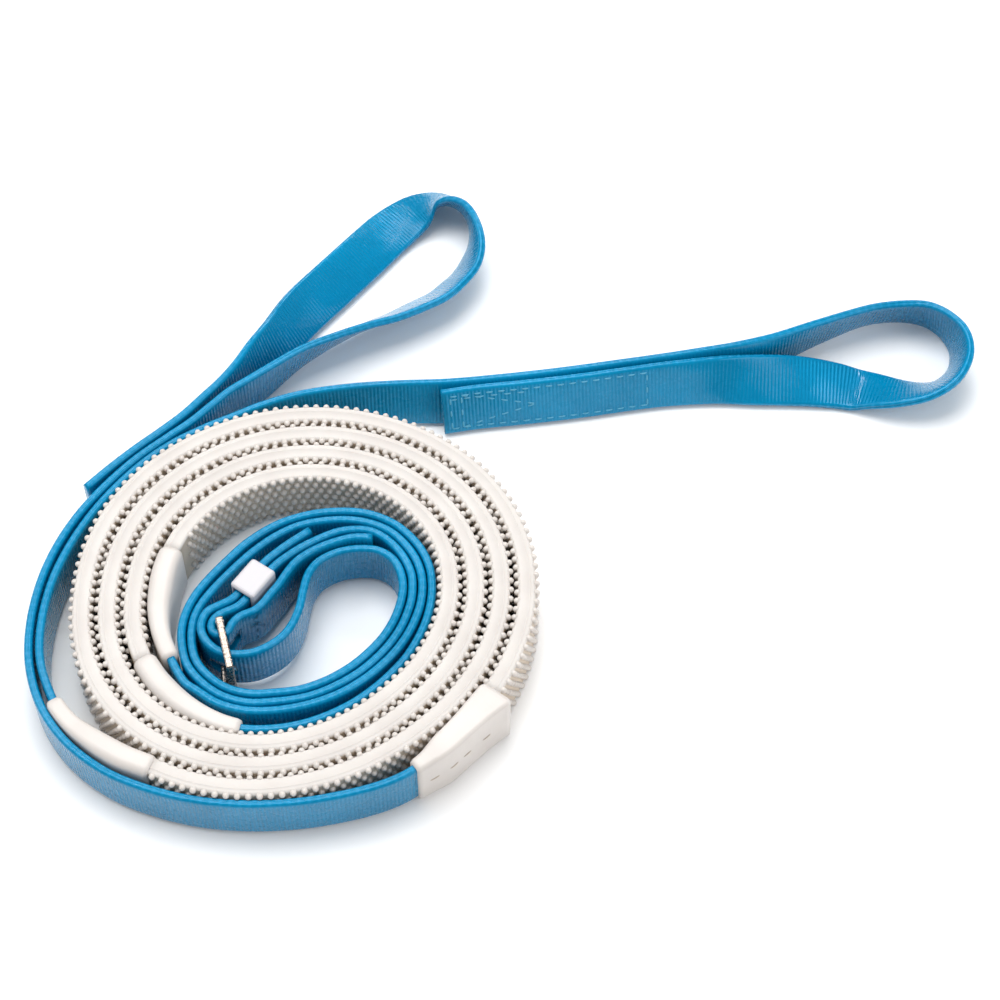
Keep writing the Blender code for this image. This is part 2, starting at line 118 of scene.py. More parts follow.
# Hand loops: x, y, height of the middle and lean of the strap in degrees.
LOOP_A = [
    (-44.5, 53.6, 8.3, 0), (-38.0, 59.2, 8.3, 0), (-32.0, 65.6, 8.3, 0),
    (-26.9, 71.3, 8.3, 2), (-21.7, 75.4, 8.4, 3), (-16.6, 79.8, 8.4, 6), (-6.3, 89.4, 8.3, 18),
    (3.2, 95.9, 8.1, 28), (14.0, 102.2, 7.6, 37), (22.2, 106.1, 7.2, 42), (29.9, 110.6, 7.0, 45),
    (36.7, 114.9, 7.0, 45), (41.6, 120.2, 7.1, 43), (45.3, 125.4, 7.3, 38), (47.4, 132.5, 7.9, 26),
    (47.5, 141.0, 8.4, 4), (45.6, 147.8, 8.3, -14), (41.8, 152.6, 7.7, -34), (36.4, 155.0, 6.4, -55),
    (30.3, 153.6, 4.6, -76), (24.6, 149.3, 3.6, -92), (18.8, 142.8, 3.9, -104),
    (11.8, 133.2, 4.9, -114), (2.9, 121.7, 5.5, -119),
    (-6.8, 108.5, 6.7, -132), (-14.4, 95.8, 7.9, -150), (-20.2, 88.0, 8.3, -164),
    (-24.8, 81.3, 8.4, -174), (-29.6, 75.2, 8.3, -180), (-34.6, 69.0, 8.3, -180),
    (-40.2, 62.2, 8.3, -180), (-46.5, 56.0, 8.3, -180), (-53.5, 49.6, 8.3, -180),
    (-60.5, 42.6, 8.3, -180), (-67.4, 35.0, 8.3, -180),
]

LOOP_B = [
    (38.5, 68.0, 8.3, -20), (49.0, 69.9, 8.3, -20), (63.5, 71.7, 8.3, -20), (80.9, 74.2, 8.3, -20),
    (98.0, 77.2, 8.3, -20), (109.2, 79.0, 8.2, -22), (124.6, 80.6, 8.0, -30), (134.8, 81.4, 7.0, -44),
    (144.4, 82.2, 5.7, -57), (153.1, 82.6, 4.3, -70), (162.0, 82.3, 2.7, -82),
    (167.9, 81.3, 1.9, -91), (172.9, 79.9, 3.0, -100), (178.4, 78.2, 4.3, -110),
    (183.0, 77.3, 5.3, -119), (187.8, 77.1, 6.2, -128), (191.9, 78.0, 7.0, -137),
    (195.8, 80.3, 7.6, -146), (199.0, 84.2, 8.1, -155), (200.8, 88.7, 8.3, -163),
    (201.0, 94.1, 8.4, -172), (199.6, 98.7, 8.3, -181), (196.3, 103.2, 8.4, -189),
    (191.1, 106.6, 8.4, -195), (183.3, 107.6, 8.3, -199), (173.9, 106.3, 8.3, -199),
    (164.7, 102.7, 8.4, -195), (153.1, 97.4, 8.4, -188), (141.8, 91.8, 8.3, -178),
    (130.5, 87.4, 8.4, -168), (118.8, 84.5, 8.3, -162), (109.4, 82.5, 8.3, -160),
    (92.3, 79.5, 8.3, -160), (75.1, 76.6, 8.3, -160), (57.8, 74.2, 8.3, -160), (40.4, 72.3, 8.3, -160),
    (25.5, 71.9, 8.3, -163), (10.2, 71.0, 8.4, -168), (-4.9, 68.8, 8.4, -173),
    (-16.9, 64.9, 8.4, -177), (-25.9, 60.8, 8.3, -180),
]

# Inner turns and buckled ends, wound inside the grips.
INNER_A = [
    (-9.2, -47.3), (-0.8, -46.1), (6.9, -43.4), (14.2, -39.4), (20.2, -34.7), (25.1, -29.7), (29.4, -24.2),
    (32.7, -18.0), (34.9, -12.1), (36.2, -5.9), (36.5, -0.3), (35.8, 6.0), (33.6, 11.9), (30.0, 17.1),
    (24.8, 21.9), (17.8, 25.2), (11.6, 26.2), (3.9, 25.9), (-3.0, 24.3), (-10.1, 21.3), (-17.9, 15.4),
    (-23.5, 9.1), (-29.9, 0.7), (-33.2, -5.5), (-35.0, -12.2), (-34.9, -18.5), (-32.9, -25.9),
    (-28.2, -31.9), (-22.3, -36.2), (-15.0, -38.4), (-8.0, -38.2), (-0.3, -37.1), (5.7, -35.1),
    (11.8, -31.8), (16.4, -28.5), (20.9, -24.1), (24.4, -19.7), (27.3, -14.8), (29.1, -10.3), (30.5, -4.9),
    (30.8, 0.1),
]

BUCKLE_END = [
    (30.4, 4.2), (28.7, 8.8), (25.7, 13.4), (21.6, 17.2), (17.2, 19.1), (12.3, 19.0), (7.5, 17.7),
    (0.1, 13.7), (-5.0, 10.0), (-9.72, 5.54), (-13.96, -0.65), (-18.2, -6.84), (-20.6, -8.7),
    (-23.2, -9.9), (-25.4, -11.5), (-26.4, -13.6), (-26.3, -15.7), (-24.8, -17.15), (-22.6, -17.05),
    (-21.2, -15.4), (-20.4, -13.3), (-18.1, -11.0), (-14.5, -9.3), (-12.2, -6.9), (-10.0, -3.5),
    (-8.0, -0.6), (-6.0, 3.1), (-3.4, 7.2), (0.3, 10.4), (4.6, 12.9), (8.5, 14.5), (13.2, 15.8),
    (18.7, 15.7),
]

INNER_B = [
    (-33.1, -32.1), (-29.2, -35.0), (-23.4, -38.9), (-16.0, -41.2), (-8.3, -41.4), (-0.7, -40.2),
    (6.0, -38.1), (12.3, -35.0), (18.0, -30.9), (22.6, -26.5), (26.6, -21.6), (29.8, -16.2), (31.9, -11.0),
    (33.3, -5.6), (33.7, 0.1), (33.1, 5.0), (31.2, 10.2), (27.6, 15.5), (23.4, 19.4), (17.6, 22.1),
    (11.4, 23.2), (4.4, 22.9), (-3.1, 21.2), (-9.9, 17.4), (-15.8, 12.4), (-21.0, 6.7), (-27.0, -1.0),
    (-30.3, -6.4), (-32.0, -11.7), (-32.0, -18.7), (-30.3, -24.8), (-26.5, -29.7), (-21.0, -33.7),
    (-14.3, -35.5), (-7.3, -35.2), (-0.3, -34.2), (5.6, -32.0), (10.4, -29.3), (14.9, -25.9),
    (18.9, -21.9), (22.4, -17.5), (24.8, -13.3), (26.6, -8.7), (27.7, -4.0), (28.0, 0.2),
]

BILLET = [
    (27.2, 5.0), (24.9, 9.4), (21.0, 12.2), (16.8, 13.0), (11.3, 12.4), (6.7, 10.6), (2.8, 7.6),
    (0.4, 3.3), (-0.7, -2.2), (-1.6, -8.5), (-3.9, -15.0), (-7.4, -19.4), (-12.8, -22.8), (-17.6, -23.8),
    (-22.4, -23.3), (-26.1, -21.1), (-28.9, -17.1), (-29.4, -13.7), (-27.9, -9.6), (-24.2, -7.3),
    (-20.76, -5.09), (-16.52, 1.1), (-12.28, 7.29), (-7.4, 12.1), (-3.6, 15.2), (0.3, 18.2),
]


def hermite(x, keys, values):
    """Smooth value at x on a curve through keyed values."""
    last = len(keys) - 1
    k = min(max(bisect.bisect_right(keys, x) - 1, 0), last - 1)

    def slope(i):
        low, high = max(i - 1, 0), min(i + 1, last)
        return (values[high] - values[low]) / (keys[high] - keys[low])

    span = keys[k + 1] - keys[k]
    s = (x - keys[k]) / span
    first = (1 + 2 * s) * (1 - s) ** 2 * values[k] + s * (1 - s) ** 2 * span * slope(k)
    return first + s * s * (3 - 2 * s) * values[k + 1] - s * s * (1 - s) * span * slope(k + 1)


def resample(points, step, ends):
    """Evenly spaced stations on a smooth curve through the points, trimmed at its ends."""
    keys = [0.0]
    for a, b in zip(points, points[1:]):
        keys.append(keys[-1] + math.dist(a[:3], b[:3]))
    rows = list(zip(*points))
    parts = int(keys[-1] / 0.5)
    fine = [[hermite(keys[-1] * i / parts, keys, row) for row in rows] for i in range(parts + 1)]
    lengths = [0.0]
    for a, b in zip(fine, fine[1:]):
        lengths.append(lengths[-1] + math.dist(a[:3], b[:3]))
    start, stop = ends[0], lengths[-1] - ends[1]
    count = max(2, round((stop - start) / step))
    stations, k = [], 0
    for i in range(count + 1):
        wanted = start + (stop - start) * i / count
        while k < parts - 1 and lengths[k + 1] < wanted:
            k += 1
        f = (wanted - lengths[k]) / max(lengths[k + 1] - lengths[k], 1e-9)
        stations.append([p + (q - p) * f for p, q in zip(fine[k], fine[k + 1])])
    return stations


def oval(angle, radius):
    """A point of the coil, which is a little narrower from front to back than across."""
    a = math.radians(angle)
    return (radius * math.cos(a), COIL_SQUASH * radius * math.sin(a), GRIP_Z, 0)


def ring_radius(turned, base):
    """Radius after winding this far inward from a base ring."""
    turns, angle = divmod(turned, 360)
    return base - 2 * COIL_PITCH * turns + hermite(angle, [k for k, _ in DRIFT], [d for _, d in DRIFT])


def coil(base, first, last):
    """A wound stretch, with a point about every six degrees."""
    count = round((last - first) / 6)
    angles = [first + (last - first) * i / count for i in range(count + 1)]
    return [oval(a, ring_radius(a, base)) for a in angles]


def flat_route(points, low, high, rise):
    """Puts a height on each point, easing from low to high between two shares of the route."""
    route = []
    for i, (x, y) in enumerate(points):
        f = (i / (len(points) - 1) - rise[0]) / (rise[1] - rise[0])
        f = min(max(f, 0.0), 1.0)
        route.append((x, y, low + (high - low) * f * f * (3 - 2 * f), 0))
    return route


def lead_route(keys):
    """The stretch from a hand loop to its first cap, which climbs to the height of the grips."""
    count = len(keys) - 1
    route = []
    for i, (angle, radius) in enumerate(keys):
        x, y, _, _ = oval(angle, radius)
        route.append((x, y, LOOP_Z + (GRIP_Z - LOOP_Z) * min(1, 1.6 * i / count), 0))
    return route


def leaning(route, lean):
    return [(x, y, z, a + lean) for x, y, z, a in route]


def place(p):
    """A point in the coil's millimetres, moved to the frame's metres."""
    return Vector(((p[0] - SHIFT_X) * MM, (p[1] - SHIFT_Y) * MM, p[2] * MM))


class Run:
    """Stations along a strap: middle, direction across, direction out of its face, direction along."""

    def __init__(self, points, step, ends=(0.0, 0.0)):
        stations = resample(points, step, ends)
        last = len(stations) - 1
        self.rows, self.lengths = [], [0.0]
        for i, (x, y, z, lean) in enumerate(stations):
            a, b = stations[max(i - 1, 0)], stations[min(i + 1, last)]
            along = Vector((b[0] - a[0], b[1] - a[1], b[2] - a[2])).normalized()
            side = along.cross(Vector((0, 0, 1))).normalized()
            up = side.cross(along).normalized()
            turn = math.radians(lean)
            across = up * math.cos(turn) + side * math.sin(turn)
            self.rows.append((Vector((x, y, z)), across, along.cross(across).normalized(), along))
            if i:
                self.lengths.append(self.lengths[-1] + math.dist(stations[i - 1][:3], stations[i][:3]))
        self.total = self.lengths[-1]

    def at(self, s):
        """The station at length s, blended from its two neighbours."""
        k = min(max(bisect.bisect_right(self.lengths, s) - 1, 0), len(self.rows) - 2)
        f = (s - self.lengths[k]) / (self.lengths[k + 1] - self.lengths[k])
        return [a.lerp(b, f) for a, b in zip(self.rows[k], self.rows[k + 1])]

    def nearest(self, x, y, first):
        """Length of the station nearest to a point, beyond a first length."""
        found = min(
            (i for i, s in enumerate(self.lengths) if s >= first),
            key=lambda i: math.dist(self.rows[i][0][:2], (x, y)),
        )
        return self.lengths[found]


def rounded(u, low, high, radius, corner=CORNER_POINTS, sides=4):
    """Outline of a rounded bar: half thickness u, from the low to the high edge."""
    outline = []
    corners = (
        (u - radius, high - radius, 0),
        (radius - u, high - radius, 90),
        (radius - u, low + radius, 180),
        (u - radius, low + radius, 270),
    )
    for centre_u, centre_v, start in corners:
        for i in range(corner):
            a = math.radians(start + 90 * i / (corner - 1))
            outline.append((centre_u + radius * math.cos(a), centre_v + radius * math.sin(a)))
        if start in (90, 270):
            end = low + radius if start == 90 else high - radius
            face, here = outline[-1]
            for i in range(1, sides):
                outline.append((face, here + (end - here) * i / sides))
    return outline


def mesh_piece(name, points, faces, material, uvs=None):
    """One finished piece that rides with the reins. Its UV map, where it has one, is in metres."""
    mesh = bpy.data.meshes.new(name)
    mesh.from_pydata(points, [], faces)
    if uvs:
        layer = mesh.uv_layers.new(name="length_and_width")
        for loop, uv in zip(layer.data, uvs):
            loop.uv = uv
    mesh.shade_smooth()
    mesh.validate()
    obj = bpy.data.objects.new(name, mesh)
    obj.data.materials.append(material)
    bpy.context.scene.collection.objects.link(obj)
    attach(obj, "reins")
    return obj


def face_outward(obj):
    bm = bmesh.new()
    bm.from_mesh(obj.data)
    bmesh.ops.recalc_face_normals(bm, faces=bm.faces)
    bm.to_mesh(obj.data)
    bm.free()


def loft(name, run, outline_at, material, round_ends=0.0):
    """A closed bar swept along a run. Its ends pull in over the rounding length."""
    points, faces, uvs, rings = [], [], [], []
    for i, (middle, across, out, _) in enumerate(run.rows):
        s = run.lengths[i]
        outline = outline_at(s / run.total)
        shrink = 1.0
        edge = min(s, run.total - s)
        if edge < round_ends:
            shrink = 1 - END_PULL * (1 - edge / round_ends) ** 2
        narrow = 1 - (1 - shrink) * END_NARROW
        mid = sum(v for _, v in outline) / len(outline)
        first = len(points)
        for u, v in outline:
            points.append(place(middle + out * (u * shrink) + across * (mid + (v - mid) * narrow)))
        rings.append((range(first, len(points)), s, [v for _, v in outline]))
    for (one, s, vs), (two, t, _) in zip(rings, rings[1:]):
        count = len(one)
        for k in range(count):
            n = (k + 1) % count
            faces.append((one[k], one[n], two[n], two[k]))
            corners = ((s, vs[k]), (s, vs[n]), (t, vs[n]), (t, vs[k]))
            uvs += [(long * MM, wide * MM) for long, wide in corners]
    for (ring, s, vs), order in ((rings[0], -1), (rings[-1], 1)):
        faces.append(tuple(ring[::order]))
        uvs += [(s * MM, v * MM) for v in vs[::order]]
    obj = mesh_piece(name, points, faces, material, uvs)
    face_outward(obj)
    return obj


# ---------------------------------------------------------------- materials
def hex_color(text):
    """sRGB hex to the linear colour that a socket takes."""
    found = []
    for i in (1, 3, 5):
        c = int(text[i:i + 2], 16) / 255
        found.append(c / 12.92 if c <= 0.04045 else ((c + 0.055) / 1.055) ** 2.4)
    return (*found, 1.0)


def scale_of(size):
    """Scale of a noise whose blobs are this many millimetres across."""
    return 1 / (size * MM)


def new_material(name, color, roughness, metallic=0.0, ior=1.5):
    made = bpy.data.materials.new(name)
    made.use_nodes = True
    shader = made.node_tree.nodes["Principled BSDF"]
    shader.inputs["Base Color"].default_value = hex_color(color)
    shader.inputs["Roughness"].default_value = roughness
    shader.inputs["Metallic"].default_value = metallic
    if not metallic:
        shader.inputs["IOR"].default_value = ior
    return made, shader


def add(made, kind, links=None, **settings):
    """Adds a node with its settings; links maps an input to a node's first output, a socket or a value."""
    node = made.node_tree.nodes.new(kind)
    for key, value in settings.items():
        setattr(node, key, value)
    for key, value in (links or {}).items():
        if isinstance(value, bpy.types.Node):
            value = value.outputs[0]
        if isinstance(value, bpy.types.NodeSocket):
            made.node_tree.links.new(value, node.inputs[key])
        else:
            node.inputs[key].default_value = value
    return node


def wire(made, out, socket):
    made.node_tree.links.new(out, socket)


def coated_webbing():
    """PVC-coated polyester webbing, calendered: a wet-looking blue skin over fine cross ribs."""
    made, shader = new_material("pvc_coated_webbing_blue", "#007db4", 0.27)
    uv = add(made, "ShaderNodeUVMap", uv_map="length_and_width")
    split = add(made, "ShaderNodeSeparateXYZ", {0: uv})
    width = add(made, "ShaderNodeMath", {0: split.outputs[1]}, operation="ABSOLUTE")
    # Weft ribs under the coating, 1.15 mm apart, flatten out before the bound edges.
    turn = add(made, "ShaderNodeMath", {0: split, 1: 2 * math.pi / (1.15 * MM)}, operation="MULTIPLY")
    wave = add(made, "ShaderNodeMath", {0: turn}, operation="SINE")
    fade = add(made, "ShaderNodeMapRange", {0: width, 1: 6.2 * MM, 2: 7.2 * MM, 3: 1.0, 4: 0.1})
    rib = add(made, "ShaderNodeMath", {0: wave, 1: fade}, operation="MULTIPLY")
    # The bound edge is nipped every 2.7 mm by the welding wheel.
    turn = add(made, "ShaderNodeMath", {0: split, 1: 2 * math.pi / (2.7 * MM)}, operation="MULTIPLY")
    nips = add(made, "ShaderNodeMath", {0: turn}, operation="SINE")
    edge = add(made, "ShaderNodeMapRange", {0: width, 1: 6.6 * MM, 2: 7.6 * MM, 3: 0.0, 4: 1.0})
    nipped = add(made, "ShaderNodeMath", {0: nips, 1: edge}, operation="MULTIPLY")
    spot = add(made, "ShaderNodeTexCoord").outputs["Object"]
    grain = add(made, "ShaderNodeTexNoise", {"Vector": spot, "Scale": scale_of(2.38), "Detail": 3.0})
    soft = add(made, "ShaderNodeMath", {0: grain, 1: 0.5, 2: rib}, operation="MULTIPLY_ADD")
    tall = add(made, "ShaderNodeMath", {0: nipped, 1: 0.25, 2: soft}, operation="MULTIPLY_ADD")
    bump = add(made, "ShaderNodeBump", {"Height": tall, "Distance": 0.13 * MM, "Strength": 0.8})
    wire(made, bump.outputs[0], shader.inputs["Normal"])
    # The coating fills the ribs, so it shines in softer combs than the weave below would.
    skin = add(made, "ShaderNodeBump", {"Height": rib, "Distance": 0.04 * MM, "Strength": 0.8})
    wire(made, skin.outputs[0], shader.inputs["Coat Normal"])
    cloud = add(made, "ShaderNodeTexNoise", {"Vector": spot, "Scale": scale_of(22.2), "Detail": 2.0})
    lit = add(made, "ShaderNodeMapRange", {0: cloud, 1: 0.3, 2: 0.7, 3: 0.0, 4: 1.0})
    blues = {0: lit, 6: hex_color("#0076a1"), 7: hex_color("#0082b0")}
    shade = add(made, "ShaderNodeMix", blues, data_type="RGBA")
    # Painted highlight: the blue is lightened to a paler dash in each nip along the very edge, where the
    # nipped edge catches the light.
    edge_glint_band = add(made, "ShaderNodeMapRange", {0: width, 1: 7.3 * MM, 2: 7.9 * MM, 3: 0.0, 4: 0.3})
    high = add(made, "ShaderNodeMapRange", {0: nips, 1: 0.1, 2: 0.8, 3: 0.0, 4: 1.0})
    pale = add(made, "ShaderNodeMath", {0: edge_glint_band, 1: high}, operation="MULTIPLY")
    glint_dash_mix = {0: pale, 6: shade.outputs[2], 7: hex_color("#2f97c8")}
    glint_dashed_blue = add(made, "ShaderNodeMix", glint_dash_mix, data_type="RGBA")
    wire(made, glint_dashed_blue.outputs[2], shader.inputs["Base Color"])
    rough = add(made, "ShaderNodeMapRange", {0: grain, 1: 0.3, 2: 0.7, 3: 0.22, 4: 0.34})
    wire(made, rough.outputs[0], shader.inputs["Roughness"])
    shader.inputs["Specular Tint"].default_value = hex_color("#38bdf0")
    shader.inputs["Coat Weight"].default_value = 0.38
    shader.inputs["Coat Roughness"].default_value = 0.09
    return made


def cream_rubber(name, tint_low, tint_high, roughness, painted_hollow_shade=None):
    """Moulded natural rubber: satin skin with a faint bloom. Given a hollow colour, the base between the
    pimples is painted a darker tan as painted shade for the hollows there.
    """
    made, shader = new_material(name, tint_high, roughness, ior=1.52)
    spot = add(made, "ShaderNodeTexCoord").outputs["Object"]
    bloom = add(made, "ShaderNodeTexNoise", {"Vector": spot, "Scale": scale_of(11.1), "Detail": 4.0})
    lit = add(made, "ShaderNodeMapRange", {0: bloom, 1: 0.35, 2: 0.65, 3: 0.0, 4: 1.0})
    tints = {0: lit, 6: hex_color(tint_low), 7: hex_color(tint_high)}
    shade = add(made, "ShaderNodeMix", tints, data_type="RGBA")
    if painted_hollow_shade:
        uv = add(made, "ShaderNodeUVMap", uv_map="length_and_width")
        split = add(made, "ShaderNodeSeparateXYZ", {0: uv})
        width = add(made, "ShaderNodeMath", {0: split.outputs[1]}, operation="ABSOLUTE")
        # Painted shade: the base between the pimples takes the darker tan from just below the smooth rolled
        # edges.
        hollow_shade_mask = add(made, "ShaderNodeMapRange", {0: width, 1: 8.9 * MM, 2: 8.3 * MM, 3: 0.0, 4: 1.0})
        hollow_shade_mix = {0: hollow_shade_mask, 6: shade.outputs[2], 7: hex_color(painted_hollow_shade)}
        shade = add(made, "ShaderNodeMix", hollow_shade_mix, data_type="RGBA")
    wire(made, shade.outputs[2], shader.inputs["Base Color"])
    skin = add(made, "ShaderNodeTexNoise", {"Vector": spot, "Scale": scale_of(1.11), "Detail": 2.0})
    bump = add(made, "ShaderNodeBump", {"Height": skin, "Distance": 0.04 * MM, "Strength": 0.5})
    wire(made, bump.outputs[0], shader.inputs["Normal"])
    shader.inputs["Subsurface Weight"].default_value = 0.08
    shader.inputs["Subsurface Scale"].default_value = 1.0 * MM
    shader.inputs["Subsurface Radius"].default_value = (1.0, 0.7, 0.5)
    return made


def cast_metal():
    """Nickel-plated die casting, barrel-tumbled: bright with a lightly pitted face."""
    made, shader = new_material("nickel_plated_casting", "#9c9188", 0.3, metallic=1.0)
    spot = add(made, "ShaderNodeTexCoord").outputs["Object"]
    pits = add(made, "ShaderNodeTexNoise", {"Vector": spot, "Scale": scale_of(0.714), "Detail": 3.0})
    dents = add(made, "ShaderNodeTexVoronoi", {"Vector": spot, "Scale": scale_of(1.11)})
    tall = add(made, "ShaderNodeMath", {0: dents, 1: 0.7, 2: pits}, operation="MULTIPLY_ADD")
    bump = add(made, "ShaderNodeBump", {"Height": tall, "Distance": 0.12 * MM, "Strength": 0.7})
    wire(made, bump.outputs[0], shader.inputs["Normal"])
    rough = add(made, "ShaderNodeMapRange", {0: pits, 1: 0.3, 2: 0.7, 3: 0.16, 4: 0.4})
    wire(made, rough.outputs[0], shader.inputs["Roughness"])
    return made


def moulded_plastic():
    """Injection-moulded white nylon: smooth with a soft shine and faint flow marks."""
    made, shader = new_material("moulded_white_nylon", "#c6c4c8", 0.33, ior=1.53)
    spot = add(made, "ShaderNodeTexCoord").outputs["Object"]
    flow = add(made, "ShaderNodeTexNoise", {"Vector": spot, "Scale": scale_of(6.25), "Detail": 2.0})
    bump = add(made, "ShaderNodeBump", {"Height": flow, "Distance": 0.3 * MM, "Strength": 0.25})
    wire(made, bump.outputs[0], shader.inputs["Normal"])
    shader.inputs["Subsurface Weight"].default_value = 0.05
    shader.inputs["Subsurface Scale"].default_value = 1.0 * MM
    return made


def sewing_thread(name, color):
    """Bonded polyester sewing thread, matt and slightly fuzzy."""
    made, shader = new_material(name, color, 0.65)
    spot = add(made, "ShaderNodeTexCoord").outputs["Object"]
    twist = add(made, "ShaderNodeTexNoise", {"Vector": spot, "Scale": scale_of(0.4), "Detail": 2.0})
    bump = add(made, "ShaderNodeBump", {"Height": twist, "Distance": 0.1 * MM, "Strength": 0.6})
    wire(made, bump.outputs[0], shader.inputs["Normal"])
    return made


blue = coated_webbing()
rubber = cream_rubber("moulded_cream_rubber", "#ccc5bf", "#d2ccc6", 0.36)
# The sleeve's last colour, a darker tan, is painted shade in the hollows between its pimples.
grip_rubber = cream_rubber("moulded_cream_rubber_sleeve", "#ccc6c1", "#d2cdc8", 0.55, "#c4b5a3")
cap_rubber = cream_rubber("dipped_cream_rubber", "#cdc7c2", "#d3cdc8", 0.38)
metal = cast_metal()
plastic = moulded_plastic()
thread = sewing_thread("polyester_thread_pale_blue", "#4fa3c4")
dark_thread = sewing_thread("polyester_thread_teal", "#0a5f80")
cream_thread = sewing_thread("polyester_thread_cream", "#b3a595")

# ---------------------------------------------------------------- the two straps
# Strap A's loop is listed from the coil outward, so it is turned round. Strap B leaves its loop upside down,
# so the rest of it leans by half a turn.
back_a = [(x, y, z, -lean) for x, y, z, lean in LOOP_A[::-1]]
lead_a, lead_b = lead_route(LEAD_A), lead_route(LEAD_B)
exit_a = [oval(a, r) for a, r in EXIT_A]
exit_b = [oval(a, ring_radius(a, RING_B)) for a in EXIT_B]
inner_a = flat_route(INNER_A, GRIP_Z, INNER_Z, (0, 0.4))
inner_a += flat_route(BUCKLE_END, INNER_Z, BUCKLE_Z, (0.05, 0.25))
inner_b = flat_route(INNER_B, GRIP_Z, INNER_Z, (0, 0.4))
inner_b += flat_route(BILLET, INNER_Z, BUCKLE_Z, (0.05, 0.45))
all_a = back_a + lead_a + coil(RING_A, *WOUND_A)[1:-1] + exit_a + inner_a
all_b = LOOP_B + leaning(lead_b + coil(RING_B, *WOUND_B)[1:-1] + exit_b + inner_b, -180)
run_a, run_b = Run(all_a, STRAP_STEP), Run(all_b, STRAP_STEP)

strap_outline = rounded(STRAP_THICK / 2, -STRAP_WIDTH / 2, STRAP_WIDTH / 2, STRAP_ROUND)
# The two bound lips along each edge leave a shallow groove between them.
strap_outline.insert(CORNER_POINTS, (0, STRAP_GROOVE))
lower = next(i for i, (_, v) in enumerate(strap_outline) if v < 0.01 - STRAP_WIDTH / 2)
strap_outline.insert(lower + 1, (0, -STRAP_GROOVE))
strap_a = loft("strap_a", run_a, lambda f: strap_outline, blue)
strap_b = loft("strap_b", run_b, lambda f: strap_outline, blue)
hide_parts("strap_a_hand_loop", "strap_a_lead", "strap_a_grip_core", "strap_a_inner_turns",
            "strap_a_buckle_end")
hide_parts("strap_b_hand_loop", "strap_b_lead", "strap_b_grip_core", "strap_b_inner_turns",
            "strap_b_billet")


def cut(target, tool):
    """Cuts the tool's shape out of a strap and bins the tool."""
    bpy.ops.object.select_all(action="DESELECT")
    bpy.context.view_layer.objects.active = target
    target.select_set(True)
    hole = target.modifiers.new("hole", "BOOLEAN")
    hole.object, hole.operation, hole.solver = tool, "DIFFERENCE", "EXACT"
    bpy.ops.object.modifier_apply(modifier=hole.name)
    bpy.data.objects.remove(tool)


# A round slot in the fold lets the tongue reach the bar.
bpy.ops.object.select_all(action="DESELECT")
bpy.ops.mesh.primitive_cylinder_add(
    vertices=48, radius=FOLD_SLOT_RADIUS * MM, depth=SLOT_TALL * MM, location=place((BAR_X, BAR_Y, BUCKLE_Z)))
cut(strap_a, bpy.context.object)

# A punched slot in strap B lets the tongue pass through it.
post_away = math.hypot(POST_X - BAR_X, POST_Y - BAR_Y)
tongue_heading = math.atan2(POST_Y - BAR_Y, POST_X - BAR_X) - math.asin(TONGUE_ASIDE / post_away)
slot_x = BAR_X + math.cos(tongue_heading) * BILLET_SLOT_FROM_BAR
slot_y = BAR_Y + math.sin(tongue_heading) * BILLET_SLOT_FROM_BAR
bpy.ops.object.select_all(action="DESELECT")
bpy.ops.mesh.primitive_cube_add(
    size=1, location=place((slot_x, slot_y, BUCKLE_Z)), rotation=(0, 0, tongue_heading + math.pi / 2))
bpy.context.object.scale = (BILLET_SLOT * MM, BILLET_SLOT * MM, SLOT_TALL * MM)
bpy.context.view_layer.update()
cut(strap_b, bpy.context.object)

# ---------------------------------------------------------------- grips, pimples and end caps
grip_outline = rounded(GRIP_HALF_THICK, -GRIP_HALF_TALL, GRIP_HALF_TALL, GRIP_ROUND)
# The mould's parting line runs along the upper edge, towards its outer side.
crest = GRIP_HALF_TALL + RIDGE_TALL
ridge = [(1.05, GRIP_HALF_TALL), (0.92, crest), (0.72, crest), (0.59, GRIP_HALF_TALL)]
grip_outline[CORNER_POINTS:CORNER_POINTS] = ridge


def pimples(name, run):
    """Short round-topped studs in staggered rows on both faces of a grip."""
    points, faces = [], []
    count = int((run.total - 2 * PIMPLE_INSET) / PIMPLE_PITCH)
    spots = [(side, row, k) for side in (-1, 1) for row in range(PIMPLE_ROWS) for k in range(count)]
    for side, row, k in spots:
        v = (row - (PIMPLE_ROWS - 1) / 2) * PIMPLE_ROW
        s = PIMPLE_INSET + (k + 0.5 * (row % 2)) * PIMPLE_PITCH
        middle, across, out, along = run.at(s)
        base = middle + across * v + out * (side * GRIP_HALF_THICK)
        first = len(points)
        for radius, tall in PIMPLE_RINGS:
            for i in range(PIMPLE_SIDES):
                a = 2 * math.pi / PIMPLE_SIDES * i
                p = base + along * (radius * math.cos(a)) + across * (radius * math.sin(a) * side)
                points.append(place(p + out * (side * tall)))
        tip = len(points)
        points.append(place(base + out * (side * PIMPLE_TALL)))
        top = tip - PIMPLE_SIDES
        for ring in range(first, top, PIMPLE_SIDES):
            for i in range(PIMPLE_SIDES):
                a, b = ring + i, ring + (i + 1) % PIMPLE_SIDES
                faces.append((a, a + PIMPLE_SIDES, b + PIMPLE_SIDES, b))
        for i in range(PIMPLE_SIDES):
            faces.append((top + i, tip, top + (i + 1) % PIMPLE_SIDES))
        faces.append(tuple(range(first, first + PIMPLE_SIDES)))
    return mesh_piece(name, points, faces, rubber)


for letter, ring, wound in (("a", RING_A, WOUND_A), ("b", RING_B, WOUND_B)):
    run = Run(coil(ring, *wound), GRIP_STEP)
    grip = loft("rubber_grip_" + letter, run, lambda f: grip_outline, grip_rubber)
    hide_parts("grip_" + letter)
    pimples("grip_pimples_" + letter, run)


